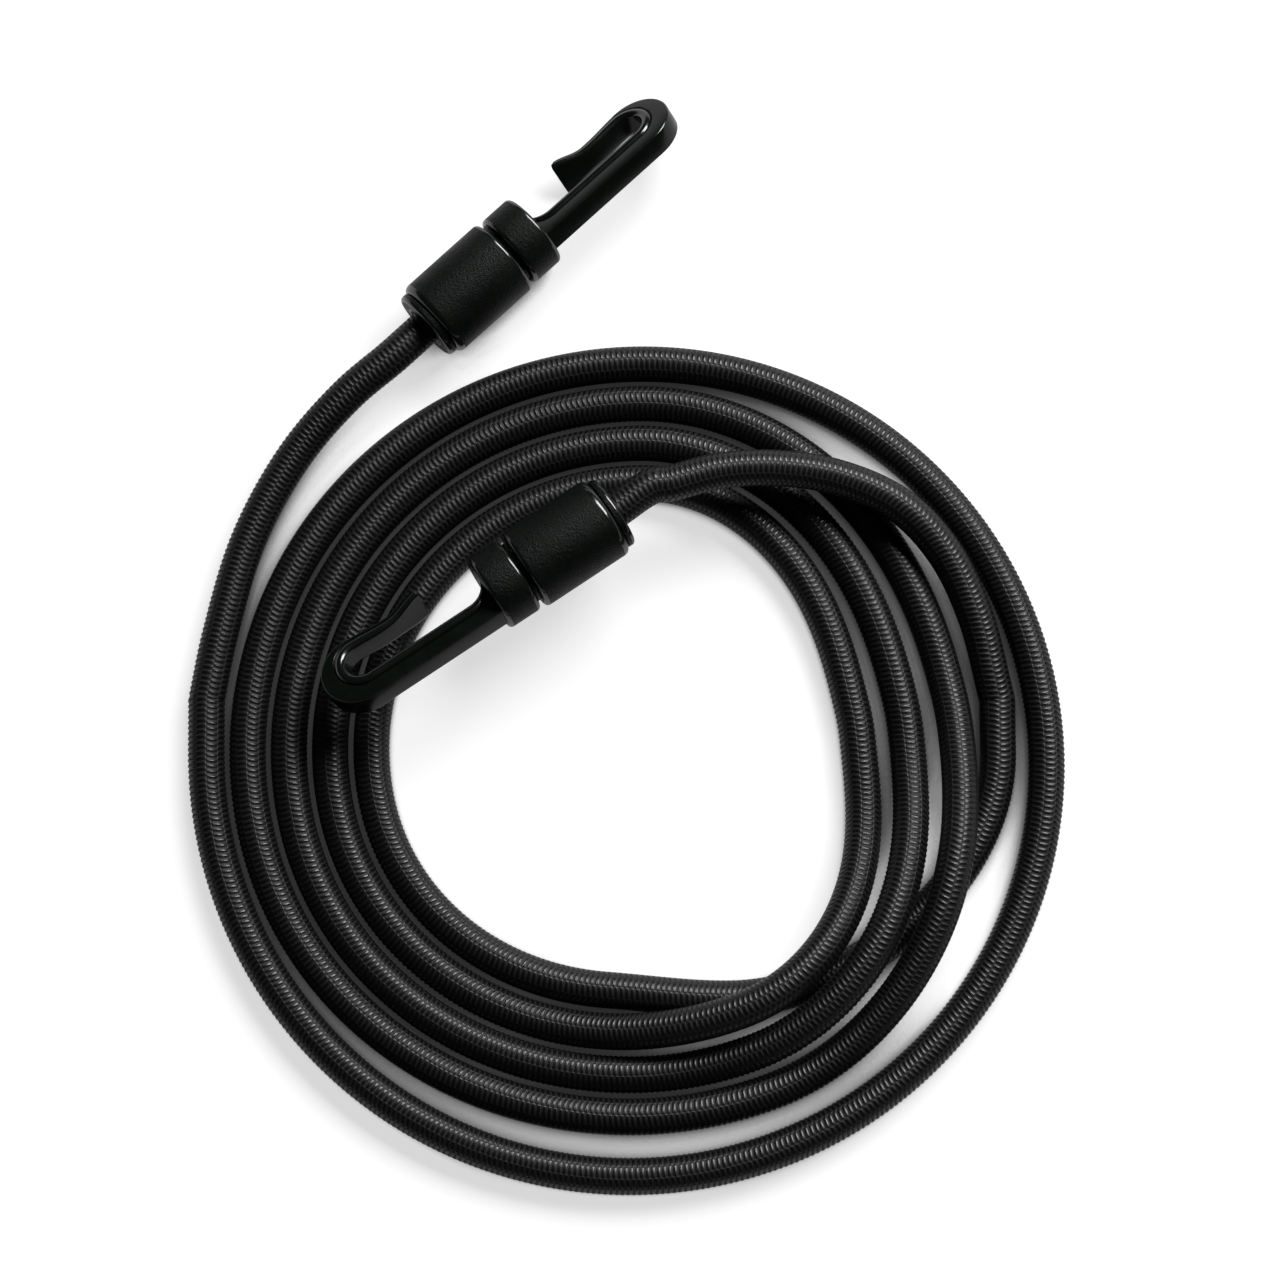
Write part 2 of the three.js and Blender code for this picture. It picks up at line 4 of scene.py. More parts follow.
import bpy
import numpy as np
from mathutils import Matrix, Vector


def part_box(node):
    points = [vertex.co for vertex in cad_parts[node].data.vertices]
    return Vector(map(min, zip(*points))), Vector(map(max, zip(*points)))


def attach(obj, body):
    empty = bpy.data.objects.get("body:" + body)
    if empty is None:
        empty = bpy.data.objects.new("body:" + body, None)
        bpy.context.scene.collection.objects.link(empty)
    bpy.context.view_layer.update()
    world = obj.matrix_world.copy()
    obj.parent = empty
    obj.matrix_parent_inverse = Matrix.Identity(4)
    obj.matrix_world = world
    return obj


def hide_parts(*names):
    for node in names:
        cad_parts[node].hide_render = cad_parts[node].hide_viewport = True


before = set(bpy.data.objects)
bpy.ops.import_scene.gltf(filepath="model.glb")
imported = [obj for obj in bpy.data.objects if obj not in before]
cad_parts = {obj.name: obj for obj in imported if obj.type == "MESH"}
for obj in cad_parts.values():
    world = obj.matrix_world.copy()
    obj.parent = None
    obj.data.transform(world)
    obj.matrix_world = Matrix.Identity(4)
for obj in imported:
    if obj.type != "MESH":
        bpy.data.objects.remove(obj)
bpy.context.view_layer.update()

MM = 0.001

# Sizes in millimetres, angles in degrees and places along the coil in turns, as in the part's source

SEAT_GAP = 0.3

CORD_DIAMETER = 10
OUTER_TURN_RADIUS = 115.7
COIL_TURNS = 4.5
COIL_START = 137
TURN_PITCH = CORD_DIAMETER + 1.1
LAY_HEIGHT = CORD_DIAMETER / 2 - 1
TAIL_GAP = 3
TAIL_ROOM = 11.2
TAIL_ROOM_GROWTH = 2
GIVE_WAY_FROM = 0.31
GIVE_WAY_LENGTH = 0.2
COME_BACK = (0.53, 0.75)
SLACK = 4.5
SLACK_MIDDLE = 0.25
SLACK_REACH = 0.22
DIVE_FROM = 4.23
TURNS_ABOVE_TAIL = 3
CROSSING_RISE = CORD_DIAMETER + 1.7
HUMP_LENGTH = 134
# Direction from the coil's middle, distance outside the outermost turn's radius and share of the climb
LEAD_A_POINTS = [(121, 1.4, 0.02), (108, 4.6, 0.1), (96, 7.6, 0.36), (86, 9.4, 0.8)]
LEAD_B_POINTS = [
    (-21, -17.3, 0.2), (-10, -17, 0.37), (0, -19.1, 0.56), (10, -24.7, 0.7),
    (20, -31.6, 0.82), (30, -38.4, 0.91), (40, -45.1, 0.98),
]
LEAD_RUN_OUT = 4
LEAD_RUN_IN = 12

# Places along a fitting's axis, from the barrel's rear end
CAP_REAR = -2.3
CAP_PLUG = 5
CORD_END = 16.8
SPIGOT_END = 20.1
CLIP_SEAT_FROM = 22.1
FRONT_WALL_AT = 23.9
BARREL_LENGTH = 27.1
COLLAR_AT = 28.4
COLLAR_FRONT = 38.4

BARREL_RADIUS = 11.5
BORE_RADIUS = 8.9
BARREL_REAR_EDGE = 2
BARREL_FRONT_EDGE = 1.2
CAP_RADIUS = 10.2
CAP_EDGE = 1
CAP_MOUTH = 1.2
CORD_HOLE_RADIUS = 5.3
SPIGOT_RADIUS = 5
SPIGOT_EDGE = 0.6
SPIGOT_HOLE_RADIUS = 5.3
CLIP_SEAT_RADIUS = 3.8
COLLAR_RADIUS = 11
COLLAR_EDGE = 1.2

SHANK_OUTER = -9.7
SHANK_INNER = -2.2
LEG_INNER = 7.2
LEG_OUTER = 11.2
HOOK_REACH = 50
BEND_THICKNESS = 7.7
# Distance from the collar, inner side and width of the return leg
NECK = (26, 6.7, 3.3)
TIP = (15.5, 8.9, 2.4)
TIP_SLANT = 1.8
# Share of the return leg at which it starts to thicken
FLARE_FROM = 0.5
ROOT_FILLET = 6
ROOT_DEPTH = 4
LIMB_THICKNESS = 7.5
TIP_THICKNESS = 11
BEAD_WIDTH = 3
BEAD_ROUND = 1.2
BAND_DROP = 0.65
BAND_LEAST = 1
GROOVE_DEPTH = 0.5
BAND_EDGE = 0.4

FITTINGS = {
    "a": {"direction": 72.5, "outside": 14.3, "heading": 0, "roll": -42},
    "b": {"direction": 54.2, "outside": -53.9, "heading": 170.9, "roll": 208},
}

# The braid: ribs of yarn in columns round the cord, each column half a rib out of step with the next
RIB_PITCH = 1.46
RIB_RINGS = 4
RIB_RELIEF = 0.5
FILAMENTS = 4
COLUMNS = 10
COLUMN_GROOVE = 0.12
RIB_SLANT = 0.14
BRAID_TWIST = 9
BRAID_TWIST_LENGTH = 410

STREAK_LENGTH = 6
# How near the cord has to be for the floor to be painted darker as shade, and how much of the floor's
# white a gloss shows
GAP_REACH = 12
MIRRORED_SHARE = 0.4

# How finely the shapes are drawn
COIL_SAMPLES = 1400
CROSSING_HALVINGS = 40
TURN_NUDGE = 1e-4
LEAD_STEPS = 24
TURNED_SIDES = 96
EDGE_STEPS = 6
SPIGOT_EDGE_STEPS = 3
ROOT_STEPS = 8
SHANK_SHARES = (0.08, 0.92)
SHANK_STATIONS = 8
BEND_STEPS = 40
LEG_STEPS = 12
BEAD_STEPS = 12
BAND_EDGE_STEPS = 4
SHARP_ANGLE = 40
HOOK_SHARP_ANGLE = 32
# How far a polished face's normal leans towards the axis: neither a wall nor an end face
POLISHED_LEAN = (0.1, 0.995)


def around_coil(direction, outside, height):
    """A point in a direction from the coil's middle, at a distance outside the outermost turn's radius."""
    radius = OUTER_TURN_RADIUS + outside
    angle = math.radians(direction)
    return np.array([radius * math.cos(angle), radius * math.sin(angle), height])


# Each fitting's axis lies at the middle of its barrel, and barrel A shows where the part's origin is
for end, fitting in FITTINGS.items():
    low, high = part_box(f"barrel_{end}")
    fitting["at"] = around_coil(fitting["direction"], fitting["outside"], (low.z + high.z) / 2 / MM)
barrel_low, barrel_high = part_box("barrel_a")
barrel_a_rear = np.array([barrel_low.x, (barrel_low.y + barrel_high.y) / 2]) / MM
ORIGIN = np.array([*(FITTINGS["a"]["at"][:2] - barrel_a_rear), 0])


# Route of the cord

def smooth_step(value, low, high):
    share = np.clip((value - low) / (high - low), 0, 1)
    return share * share * (3 - 2 * share)


def tail_room(turn):
    """How far the inner turns draw in to leave room for the tail beside the outermost one."""
    inward = np.floor(turn)
    part = turn - inward
    gone = smooth_step(part, GIVE_WAY_FROM, GIVE_WAY_FROM + GIVE_WAY_LENGTH)
    back = smooth_step(part, *COME_BACK)
    return np.where(inward < 1, 0, (TAIL_ROOM + TAIL_ROOM_GROWTH * inward) * gone * (1 - back))


def slack_room(turn):
    """How far the inner turns lie apart from the outermost one, where the coil is slack."""
    off = np.clip((turn - np.floor(turn) - SLACK_MIDDLE) / SLACK_REACH, -1, 1)
    return np.where(np.asarray(turn) < 1, 0, SLACK * (0.5 + 0.5 * np.cos(np.pi * off)))


def spiral_radius(turn):
    return OUTER_TURN_RADIUS - TURN_PITCH * turn - tail_room(turn) - slack_room(turn)


def coil_radius(turn):
    """The radius all along the coil: a spiral inwards, and the tail's dive out under the turns."""
    tail_radius = spiral_radius(COIL_TURNS % 1) - CORD_DIAMETER - TAIL_GAP
    dive = smooth_step(turn, DIVE_FROM, COIL_TURNS)
    return spiral_radius(turn) * (1 - dive) + tail_radius * dive


def crossing_turn(turns_out):
    """The turn at which the strand so many turns further out passes over the tail."""
    low, high = DIVE_FROM, COIL_TURNS
    for _ in range(CROSSING_HALVINGS):
        middle = (low + high) / 2
        if coil_radius(middle) < spiral_radius(middle - turns_out):
            low = middle
        else:
            high = middle
    return low - turns_out


CROSSINGS = [crossing_turn(turns + 1) for turns in range(TURNS_ABOVE_TAIL)]


def coil_points(turn):
    """Points of the coil, lifted in a hump over the tail at each crossing."""
    turn = np.asarray(turn, float)
    lift = np.zeros_like(turn)
    for crossing in CROSSINGS:
        along = 2 * np.pi * spiral_radius(crossing) * (turn - crossing)
        hump = 0.5 + 0.5 * np.cos(np.pi * np.clip(2 * along / HUMP_LENGTH, -1, 1))
        lift = np.maximum(lift, hump)
    direction = np.radians(COIL_START) + 2 * np.pi * turn
    radius = coil_radius(turn)
    height = LAY_HEIGHT + CROSSING_RISE * lift
    return np.stack([radius * np.cos(direction), radius * np.sin(direction), height], axis=-1)


def spline(points, steps):
    """A smooth curve through points, with knots spaced by the root of their distance."""
    points = np.asarray(points, float)
    points = np.vstack([2 * points[0] - points[1], points, 2 * points[-1] - points[-2]])
    share = np.linspace(0, 1, steps, endpoint=False)[:, None]
    squared, cubed = share**2, share**3
    curve = []
    for p0, p1, p2, p3 in zip(points, points[1:], points[2:], points[3:]):
        d0, d1, d2 = (math.sqrt(np.linalg.norm(b - a)) for a, b in ((p0, p1), (p1, p2), (p2, p3)))
        m1 = d1 * ((p1 - p0) / d0 - (p2 - p0) / (d0 + d1) + (p2 - p1) / d1)
        m2 = d1 * ((p2 - p1) / d1 - (p3 - p1) / (d1 + d2) + (p3 - p2) / d2)
        curve.append(
            (2 * cubed - 3 * squared + 1) * p1 + (cubed - 2 * squared + share) * m1
            + (3 * squared - 2 * cubed) * p2 + (cubed - squared) * m2
        )
    return np.vstack([*curve, points[-2]])


def lead_route(turn, inward, points, fitting):
    """The lead from a coil's end to the end of the cord in a fitting."""
    end = coil_points(turn)
    way_out = end - coil_points(turn + inward * TURN_NUDGE)
    way_out /= np.linalg.norm(way_out)
    place = fitting["at"]
    heading = math.radians(fitting["heading"])
    axis = np.array([math.cos(heading), math.sin(heading), 0])
    start = end + way_out * (CORD_DIAMETER + SEAT_GAP)
    rise = place[2] - LAY_HEIGHT
    knots = [start + way_out * LEAD_RUN_OUT]
    for direction, outside, share in points:
        knots.append(around_coil(direction, outside, LAY_HEIGHT + rise * share))
    knots += [place + axis * (CAP_REAR - LEAD_RUN_IN), place + axis * (CAP_REAR - SEAT_GAP)]
    return np.vstack([start, spline(knots, LEAD_STEPS), place + axis * CORD_END])


def evenly(points, spacing):
    """Points along a line in an even number of steps of about the spacing, and the line's length."""
    travelled = np.concatenate([[0], np.cumsum(np.linalg.norm(np.diff(points, axis=0), axis=1))])
    count = 2 * round(travelled[-1] / spacing / 2)
    at = np.linspace(0, travelled[-1], count + 1)
    return np.stack([np.interp(at, travelled, points[:, k]) for k in range(3)], axis=-1), travelled[-1]


def cord_route(spacing):
    """The cord's middle line from fitting A to fitting B, and its length."""
    coil = coil_points(np.linspace(0, COIL_TURNS, COIL_SAMPLES))
    lead_a = lead_route(0.0, 1, LEAD_A_POINTS, FITTINGS["a"])
    lead_b = lead_route(COIL_TURNS, -1, LEAD_B_POINTS, FITTINGS["b"])
    return evenly(np.vstack([lead_a[::-1], coil, lead_b]), spacing)


# Materials

def linear(colour):
    """A hex sRGB colour as linear RGBA."""
    parts = [int(colour[k:k + 2], 16) / 255 for k in (1, 3, 5)]
    return [*(p / 12.92 if p <= 0.04045 else ((p + 0.055) / 1.055) ** 2.4 for p in parts), 1]


def fill(tree, target, inputs):
    """Sets a node's inputs, each to a value or to another node's output."""
    for name, value in inputs.items():
        if isinstance(value, bpy.types.NodeSocket):
            tree.links.new(value, target.inputs[name])
        else:
            target.inputs[name].default_value = value


def node(tree, kind, inputs=None, **settings):
    """Adds a shader node with its settings and inputs."""
    made = tree.nodes.new("ShaderNode" + kind)
    for name, value in settings.items():
        setattr(made, name, value)
    fill(tree, made, inputs or {})
    return made


def maths(tree, operation, *values):
    """The result of a Math node on values or other nodes' outputs."""
    return node(tree, "Math", dict(enumerate(values)), operation=operation).outputs[0]


def mapped(tree, value, ends, to_ends=(0, 1), **settings):
    """A value taken from one range to another, and held within it."""
    inputs = {"Value": value}
    inputs["From Min"], inputs["From Max"] = ends
    inputs["To Min"], inputs["To Max"] = to_ends
    return node(tree, "MapRange", inputs, **settings).outputs[0]


def noise(tree, place, size, detail=2, roughness=0.5):
    """An uneven pattern of patches of about a size in millimetres."""
    inputs = {"Vector": place, "Scale": 1 / (size * MM), "Detail": detail, "Roughness": roughness}
    return node(tree, "TexNoise", inputs).outputs["Fac"]


def blended(tree, share, first, second):
    """A mix of two hex colours; a Mix node has its colours at inputs 6 and 7 and output 2."""
    inputs = {0: share, 6: linear(first), 7: linear(second)}
    return node(tree, "Mix", inputs, data_type="RGBA").outputs[2]


def bumped(tree, height, depth, strength):
    """The normal of a surface with a relief of a depth in millimetres."""
    inputs = {"Height": height, "Distance": depth * MM, "Strength": strength}
    return node(tree, "Bump", inputs).outputs[0]


def on_piece(tree):
    """The place on the piece, so that a pattern goes along when the piece moves."""
    return node(tree, "TexCoord").outputs["Object"]


def new_material(name):
    """A material with its node tree and its main shader."""
    material = bpy.data.materials.new(name)
    material.use_nodes = True
    return material, material.node_tree, material.node_tree.nodes["Principled BSDF"]


def braided_polyester():
    """Black polyester yarn, braided tight over rubber: satin ribs, with painted shade in the gaps between
    them.
    """
    material, tree, shader = new_material("braided_polyester")
    weave = node(tree, "SeparateXYZ", {0: node(tree, "UVMap", uv_map="braid").outputs[0]})
    along, around = weave.outputs[0], weave.outputs[1]
    place = on_piece(tree)
    # Yarns are never laid quite evenly, so the ribs wander by a tenth of their pitch
    drift = mapped(tree, noise(tree, place, 4), (0, 1), (-0.1, 0.1))
    column = maths(tree, "FLOOR", around)
    step = maths(tree, "ADD", maths(tree, "MULTIPLY_ADD", column, 0.5, along), drift)
    off_rib = maths(tree, "PINGPONG", step, 0.5)
    in_column = maths(tree, "PINGPONG", around, 0.5)
    rib = mapped(tree, off_rib, (0.42, 0.12), interpolation_type="SMOOTHSTEP")
    edge = mapped(tree, in_column, (0.0, 0.1), interpolation_type="SMOOTHSTEP")
    crest = maths(tree, "MULTIPLY", rib, edge)
    # Filaments are about 0.1 mm thick, drawn as a few across a rib so that they show
    filament = maths(tree, "SINE", maths(tree, "MULTIPLY", step, 2 * math.pi * FILAMENTS))
    height = maths(tree, "MULTIPLY_ADD", filament, 0.15, crest)
    # The yarn's fuzz is finer still, drawn at 0.6 mm so that it shows
    height = maths(tree, "MULTIPLY_ADD", noise(tree, place, 0.6, detail=3), 0.35, height)
    # The base colour is painted darker in the gaps between ribs than on their crests: painted shade
    fill(tree, shader, {
        "Base Color": blended(tree, crest, "#010201", "#080a09"),
        "Roughness": mapped(tree, crest, (0, 1), (0.66, 0.3)),
        "Normal": bumped(tree, height, 0.1, 0.7),
        "Specular IOR Level": 0.5,
    })
    return material


def moulded_nylon(name, roughness, grain, gloss):
    """Black nylon straight from the mould: satin, with a fine grain and slightly uneven gloss."""
    material, tree, shader = new_material(name)
    place = on_piece(tree)
    # The grain of the tool is about 0.15 mm, drawn at 0.6 mm so that it shows
    fine = noise(tree, place, 0.6, detail=4, roughness=0.6)
    broad = noise(tree, place, 5, detail=3)
    fill(tree, shader, {
        "Base Color": blended(tree, broad, "#050906", "#0d120e"),
        "Roughness": mapped(tree, broad, (0.3, 0.7), (roughness * 0.85, roughness * 1.2)),
        "Normal": bumped(tree, fine, grain, 0.6),
        "Specular IOR Level": gloss,
    })
    return material


def metal(name, colour, roughness, streak):
    """A stamped or drawn metal: fine streaks from the tool under a thin bright finish."""
    material, tree, shader = new_material(name)
    # The tool's streaks are under 0.1 mm wide, drawn wider so that they show
    along, across = 1 / (STREAK_LENGTH * MM), 1 / (streak * MM)
    stretched = node(tree, "Mapping", {"Vector": on_piece(tree), "Scale": (along, across, across)})
    drawn = node(tree, "TexNoise", {"Vector": stretched.outputs[0], "Scale": 1.0, "Detail": 4})
    fill(tree, shader, {
        "Base Color": linear(colour),
        "Roughness": mapped(tree, drawn.outputs["Fac"], (0, 1), (roughness - 0.1, roughness + 0.12)),
        "Metallic": 1,
    })
    return material


def natural_rubber():
    """A bundle of grey-brown rubber strands, cut square: dull, with a powdery bloom."""
    material, tree, shader = new_material("natural_rubber")
    bloom = noise(tree, on_piece(tree), 1.5, detail=4)
    fill(tree, shader, {
        "Base Color": blended(tree, bloom, "#5e5a52", "#8b867c"),
        "Roughness": 0.85,
        "Normal": bumped(tree, bloom, 0.05, 0.5),
    })
    return material


def white_paper():
    """A roll of matt white paper: plain white to the camera where no shadow falls, with painted shade
    among the turns.
    """
    material, tree, shader = new_material("white_paper")
    # Painted shade: the floor's colour and glow are painted darker where the cord's turns close round it,
    # so the narrow gaps stay grey
    sky = node(tree, "AmbientOcclusion", {"Distance": GAP_REACH * MM}, samples=16).outputs["AO"]
    sky = maths(tree, "POWER", mapped(tree, sky, (0.12, 0.56)), 3.0)
    ray = node(tree, "LightPath").outputs
    straight = maths(tree, "ADD", ray["Is Camera Ray"], ray["Is Transmission Ray"])
    fill(tree, shader, {
        "Base Color": blended(tree, sky, "#2a2a2a", "#b0b0b0"),
        "Emission Color": blended(tree, sky, "#282828", "#d6d6d6"),
        "Emission Strength": maths(tree, "MULTIPLY_ADD", ray["Is Glossy Ray"], MIRRORED_SHARE, straight),
        "Roughness": 0.9,
        "Specular IOR Level": 0.1,
    })
    return material


# Meshes

def new_piece(name, points, faces, material, sharp_angle=None):
    """A smooth-shaded object from points in millimetres."""
    mesh = bpy.data.meshes.new(name)
    mesh.from_pydata((np.asarray(points) * MM).tolist(), [], faces)
    mesh.polygons.foreach_set("use_smooth", [True] * len(mesh.polygons))
    if sharp_angle:
        mesh.set_sharp_from_angle(angle=math.radians(sharp_angle))
    mesh.materials.append(material)
    piece = bpy.data.objects.new(name, mesh)
    bpy.context.collection.objects.link(piece)
    return piece


def tube_faces(rings, sides, closed=False):
    """Quads over rings of points; the ends are capped unless the rings themselves close."""
    faces = []
    for ring in range(rings if closed else rings - 1):
        here, there = ring * sides, (ring + 1) % rings * sides
        for side in range(sides):
            after = (side + 1) % sides
            faces.append((here + side, there + side, there + after, here + after))
    if not closed:
        faces.append(tuple(range(sides)))
        faces.append(tuple((rings - 1) * sides + side for side in reversed(range(sides))))
    return faces


def braided_cord(material):
    """The cord with its ribs, flattened on the floor, and its middle line and length."""
    points, length = cord_route(RIB_PITCH / RIB_RINGS)
    along = np.gradient(points, axis=0)
    along /= np.linalg.norm(along, axis=1)[:, None]
    right = np.cross(along, [0, 0, 1])
    right /= np.linalg.norm(right, axis=1)[:, None]
    over = np.cross(right, along)
    rings, sides = len(points), 2 * COLUMNS
    ring = np.arange(rings)[:, None]
    side = np.arange(sides)[None, :]
    travelled = ring * length / (rings - 1)
    in_groove = side % 2 == 0
    in_rib = np.abs(np.cos(np.pi * (ring / RIB_RINGS + side // 2 / 2)))
    radius = CORD_DIAMETER / 2 - np.where(in_groove, COLUMN_GROOVE, RIB_RELIEF * (1 - in_rib))
    slant = np.where(in_groove, np.where(side % 4 == 0, -RIB_SLANT, RIB_SLANT), 0)
    twist = np.radians(BRAID_TWIST) * np.sin(2 * np.pi * travelled / BRAID_TWIST_LENGTH)
    angle = 2 * np.pi * side / sides + np.pi / 2 + twist
    place = (
        points[:, None, :]
        + (radius * np.cos(angle))[:, :, None] * right[:, None, :]
        + (radius * np.sin(angle))[:, :, None] * over[:, None, :]
        + np.broadcast_to(slant, radius.shape)[:, :, None] * along[:, None, :]
    )
    place[:, :, 2] = np.maximum(place[:, :, 2], 0)
    cord = new_piece("braided_cord", place.reshape(-1, 3) - ORIGIN, tube_faces(rings, sides), material)
    weave = cord.data.uv_layers.new(name="braid")
    ribs = np.repeat(np.arange(rings - 1) / RIB_RINGS, sides)
    next_ribs = ribs + 1 / RIB_RINGS
    columns = np.tile(np.arange(sides) / 2, rings - 1)
    corners = [(ribs, columns), (next_ribs, columns), (next_ribs, columns + 0.5), (ribs, columns + 0.5)]
    quads = np.stack([np.stack(corner, axis=-1) for corner in corners], axis=1)
    caps = np.zeros((2 * sides, 2))
    weave.data.foreach_set("uv", np.vstack([quads.reshape(-1, 2), caps]).ravel())
    return cord, points, length


def rounded(x, radius, edge, start, end, steps=EDGE_STEPS):
    """A rounded edge of a turned profile, as [x, radius] points about a centre."""
    angles = np.radians(np.linspace(start, end, steps + 1))
    return [(x + edge * math.cos(a), radius + edge * math.sin(a)) for a in angles]


def turned_ring(profile):
    """Points and faces of a profile of [x, radius] points turned about X, closed on itself."""
    angles = np.linspace(0, 2 * np.pi, TURNED_SIDES, endpoint=False)
    points = [(x, r * math.cos(a), r * math.sin(a)) for a in angles for x, r in profile]
    return points, tube_faces(TURNED_SIDES, len(profile), closed=True)


def turned_solid(profile):
    """The same for a profile with a flat face on the axis at either end."""
    angles = np.linspace(2 * np.pi, 0, TURNED_SIDES, endpoint=False)
    points = [(x, r * math.cos(a), r * math.sin(a)) for x, r in profile for a in angles]
    return points, tube_faces(len(profile), TURNED_SIDES)


def placed(fitting, points, roll=0.0):
    """Points of a fitting, from its own axes to the part's."""
    heading = Matrix.Rotation(math.radians(fitting["heading"]), 3, "Z")
    turn = heading @ Matrix.Rotation(math.radians(roll), 3, "X")
    return np.asarray(points) @ np.array(turn).T + fitting["at"] - ORIGIN


def barrel_shell():
    rear_edge = min(BARREL_REAR_EDGE, BARREL_RADIUS - BORE_RADIUS - SEAT_GAP)
    front_edge = BARREL_FRONT_EDGE
    return turned_ring([
        (0, BORE_RADIUS),
        *rounded(rear_edge, BARREL_RADIUS - rear_edge, rear_edge, 180, 90),
        *rounded(BARREL_LENGTH - front_edge, BARREL_RADIUS - front_edge, front_edge, 90, 0),
        (BARREL_LENGTH, SPIGOT_HOLE_RADIUS),
        (FRONT_WALL_AT, SPIGOT_HOLE_RADIUS),
        (FRONT_WALL_AT, BORE_RADIUS),
    ])


def cap_ring():
    return turned_ring([
        *rounded(CAP_REAR + CAP_MOUTH, CORD_HOLE_RADIUS + CAP_MOUTH, CAP_MOUTH, 270, 180),
        *rounded(CAP_REAR + CAP_EDGE, CAP_RADIUS - CAP_EDGE, CAP_EDGE, 180, 90),
        (-SEAT_GAP, CAP_RADIUS),
        (-SEAT_GAP, BORE_RADIUS - SEAT_GAP),
        (CAP_PLUG, BORE_RADIUS - SEAT_GAP),
        (CAP_PLUG, CORD_HOLE_RADIUS),
    ])


def collar_and_spigot():
    edge = SPIGOT_EDGE
    return turned_solid([
        *rounded(SPIGOT_END + edge, SPIGOT_RADIUS - edge, edge, 180, 90, SPIGOT_EDGE_STEPS),
        (CLIP_SEAT_FROM, SPIGOT_RADIUS),
        (CLIP_SEAT_FROM, CLIP_SEAT_RADIUS),
        (FRONT_WALL_AT, CLIP_SEAT_RADIUS),
        (FRONT_WALL_AT, SPIGOT_RADIUS),
        (COLLAR_AT, SPIGOT_RADIUS),
        *rounded(COLLAR_AT + COLLAR_EDGE, COLLAR_RADIUS - COLLAR_EDGE, COLLAR_EDGE, 180, 90),
        *rounded(COLLAR_FRONT - COLLAR_EDGE, COLLAR_RADIUS - COLLAR_EDGE, COLLAR_EDGE, 90, 0),
    ])


def polish_edges(piece, fitting, polished):
    """Gives a turned piece's rounded edges the gloss that handling leaves on them."""
    piece.data.materials.append(polished)
    heading = math.radians(fitting["heading"])
    axis = Vector((math.cos(heading), math.sin(heading), 0))
    least, most = POLISHED_LEAN
    for face in piece.data.polygons:
        face.material_index = 1 if least < abs(face.normal.dot(axis)) < most else 0


def limb_section(width, thickness):
    """The limb's section as [distance from its inner side, height] points: bead, groove, flat band."""
    top = thickness / 2
    bead = min(BEAD_WIDTH, width - BAND_LEAST)
    band = width - bead
    level = top - BAND_DROP
    edge = min(BAND_EDGE, band / 4)
    half = []
    for angle in np.linspace(np.pi, 0, BEAD_STEPS + 1):
        drop = BEAD_ROUND if angle > np.pi / 2 else BAND_DROP + GROOVE_DEPTH
        half.append((bead / 2 * (1 + math.cos(angle)), top - drop * (1 - math.sin(angle))))
    half.append((bead + min(GROOVE_DEPTH, band / 3), level))
    for angle in np.linspace(np.pi / 2, 0, BAND_EDGE_STEPS + 1):
        half.append((width - edge + edge * math.cos(angle), level - edge + edge * math.sin(angle)))
    return [(across, -height) for across, height in half] + half[::-1]


def limb_stations():
    """Inner side, outer side and thickness all along the limb, in the hook's own plane."""
    stations = [((-ROOT_DEPTH, SHANK_INNER + ROOT_FILLET), (-ROOT_DEPTH, SHANK_OUTER), LIMB_THICKNESS)]
    for angle in np.linspace(0, np.pi / 2, ROOT_STEPS + 1):
        x = ROOT_FILLET * (1 - math.cos(angle))
        inner_side = SHANK_INNER + ROOT_FILLET * (1 - math.sin(angle))
        stations.append(((x, inner_side), (x, SHANK_OUTER), LIMB_THICKNESS))
    inner_radius = (LEG_INNER - SHANK_INNER) / 2
    outer_radius = (LEG_OUTER - SHANK_OUTER) / 2
    inner_x = HOOK_REACH - BEND_THICKNESS - inner_radius
    outer_x = HOOK_REACH - outer_radius
    for share in np.linspace(*SHANK_SHARES, SHANK_STATIONS):
        stations.append((
            (ROOT_FILLET + (inner_x - ROOT_FILLET) * share, SHANK_INNER),
            (ROOT_FILLET + (outer_x - ROOT_FILLET) * share, SHANK_OUTER),
            LIMB_THICKNESS,
        ))
    for angle in np.linspace(-np.pi / 2, np.pi / 2, BEND_STEPS + 1):
        across, along = math.cos(angle), math.sin(angle)
        stations.append((
            (inner_x + inner_radius * across, (SHANK_INNER + LEG_INNER) / 2 + inner_radius * along),
            (outer_x + outer_radius * across, (SHANK_OUTER + LEG_OUTER) / 2 + outer_radius * along),
            LIMB_THICKNESS,
        ))
    outer_neck = (NECK[0], NECK[1] + NECK[2])
    outer_tip = (TIP[0] + TIP_SLANT, TIP[1] + TIP[2])
    inner = spline([(inner_x, LEG_INNER), NECK[:2], TIP[:2]], LEG_STEPS)
    outer = spline([(outer_x, LEG_OUTER), outer_neck, outer_tip], LEG_STEPS)
    for share, one, other in list(zip(np.linspace(0, 1, len(inner)), inner, outer))[1:]:
        flared = smooth_step(share, FLARE_FROM, 1)
        thickness = LIMB_THICKNESS + (TIP_THICKNESS - LIMB_THICKNESS) * flared
        stations.append((tuple(one), tuple(other), thickness))
    return stations


def limb():
    """Points and faces of the hook's limb, and which faces lie on its rounded bead and edges."""
    points = []
    stations = limb_stations()
    for inner, outer, thickness in stations:
        inner, outer = np.array(inner) + (COLLAR_FRONT, 0), np.array(outer) + (COLLAR_FRONT, 0)
        width = np.linalg.norm(outer - inner)
        across = (outer - inner) / width
        points += [(*(inner + across * at), height) for at, height in limb_section(width, thickness)]
    half = [1] * BEAD_STEPS + [0, 0] + [1] * BAND_EDGE_STEPS
    round_faces = (half + [0] + half[::-1] + [0]) * (len(stations) - 1) + [0, 0]
    return points, tube_faces(len(stations), len(points) // len(stations)), round_faces


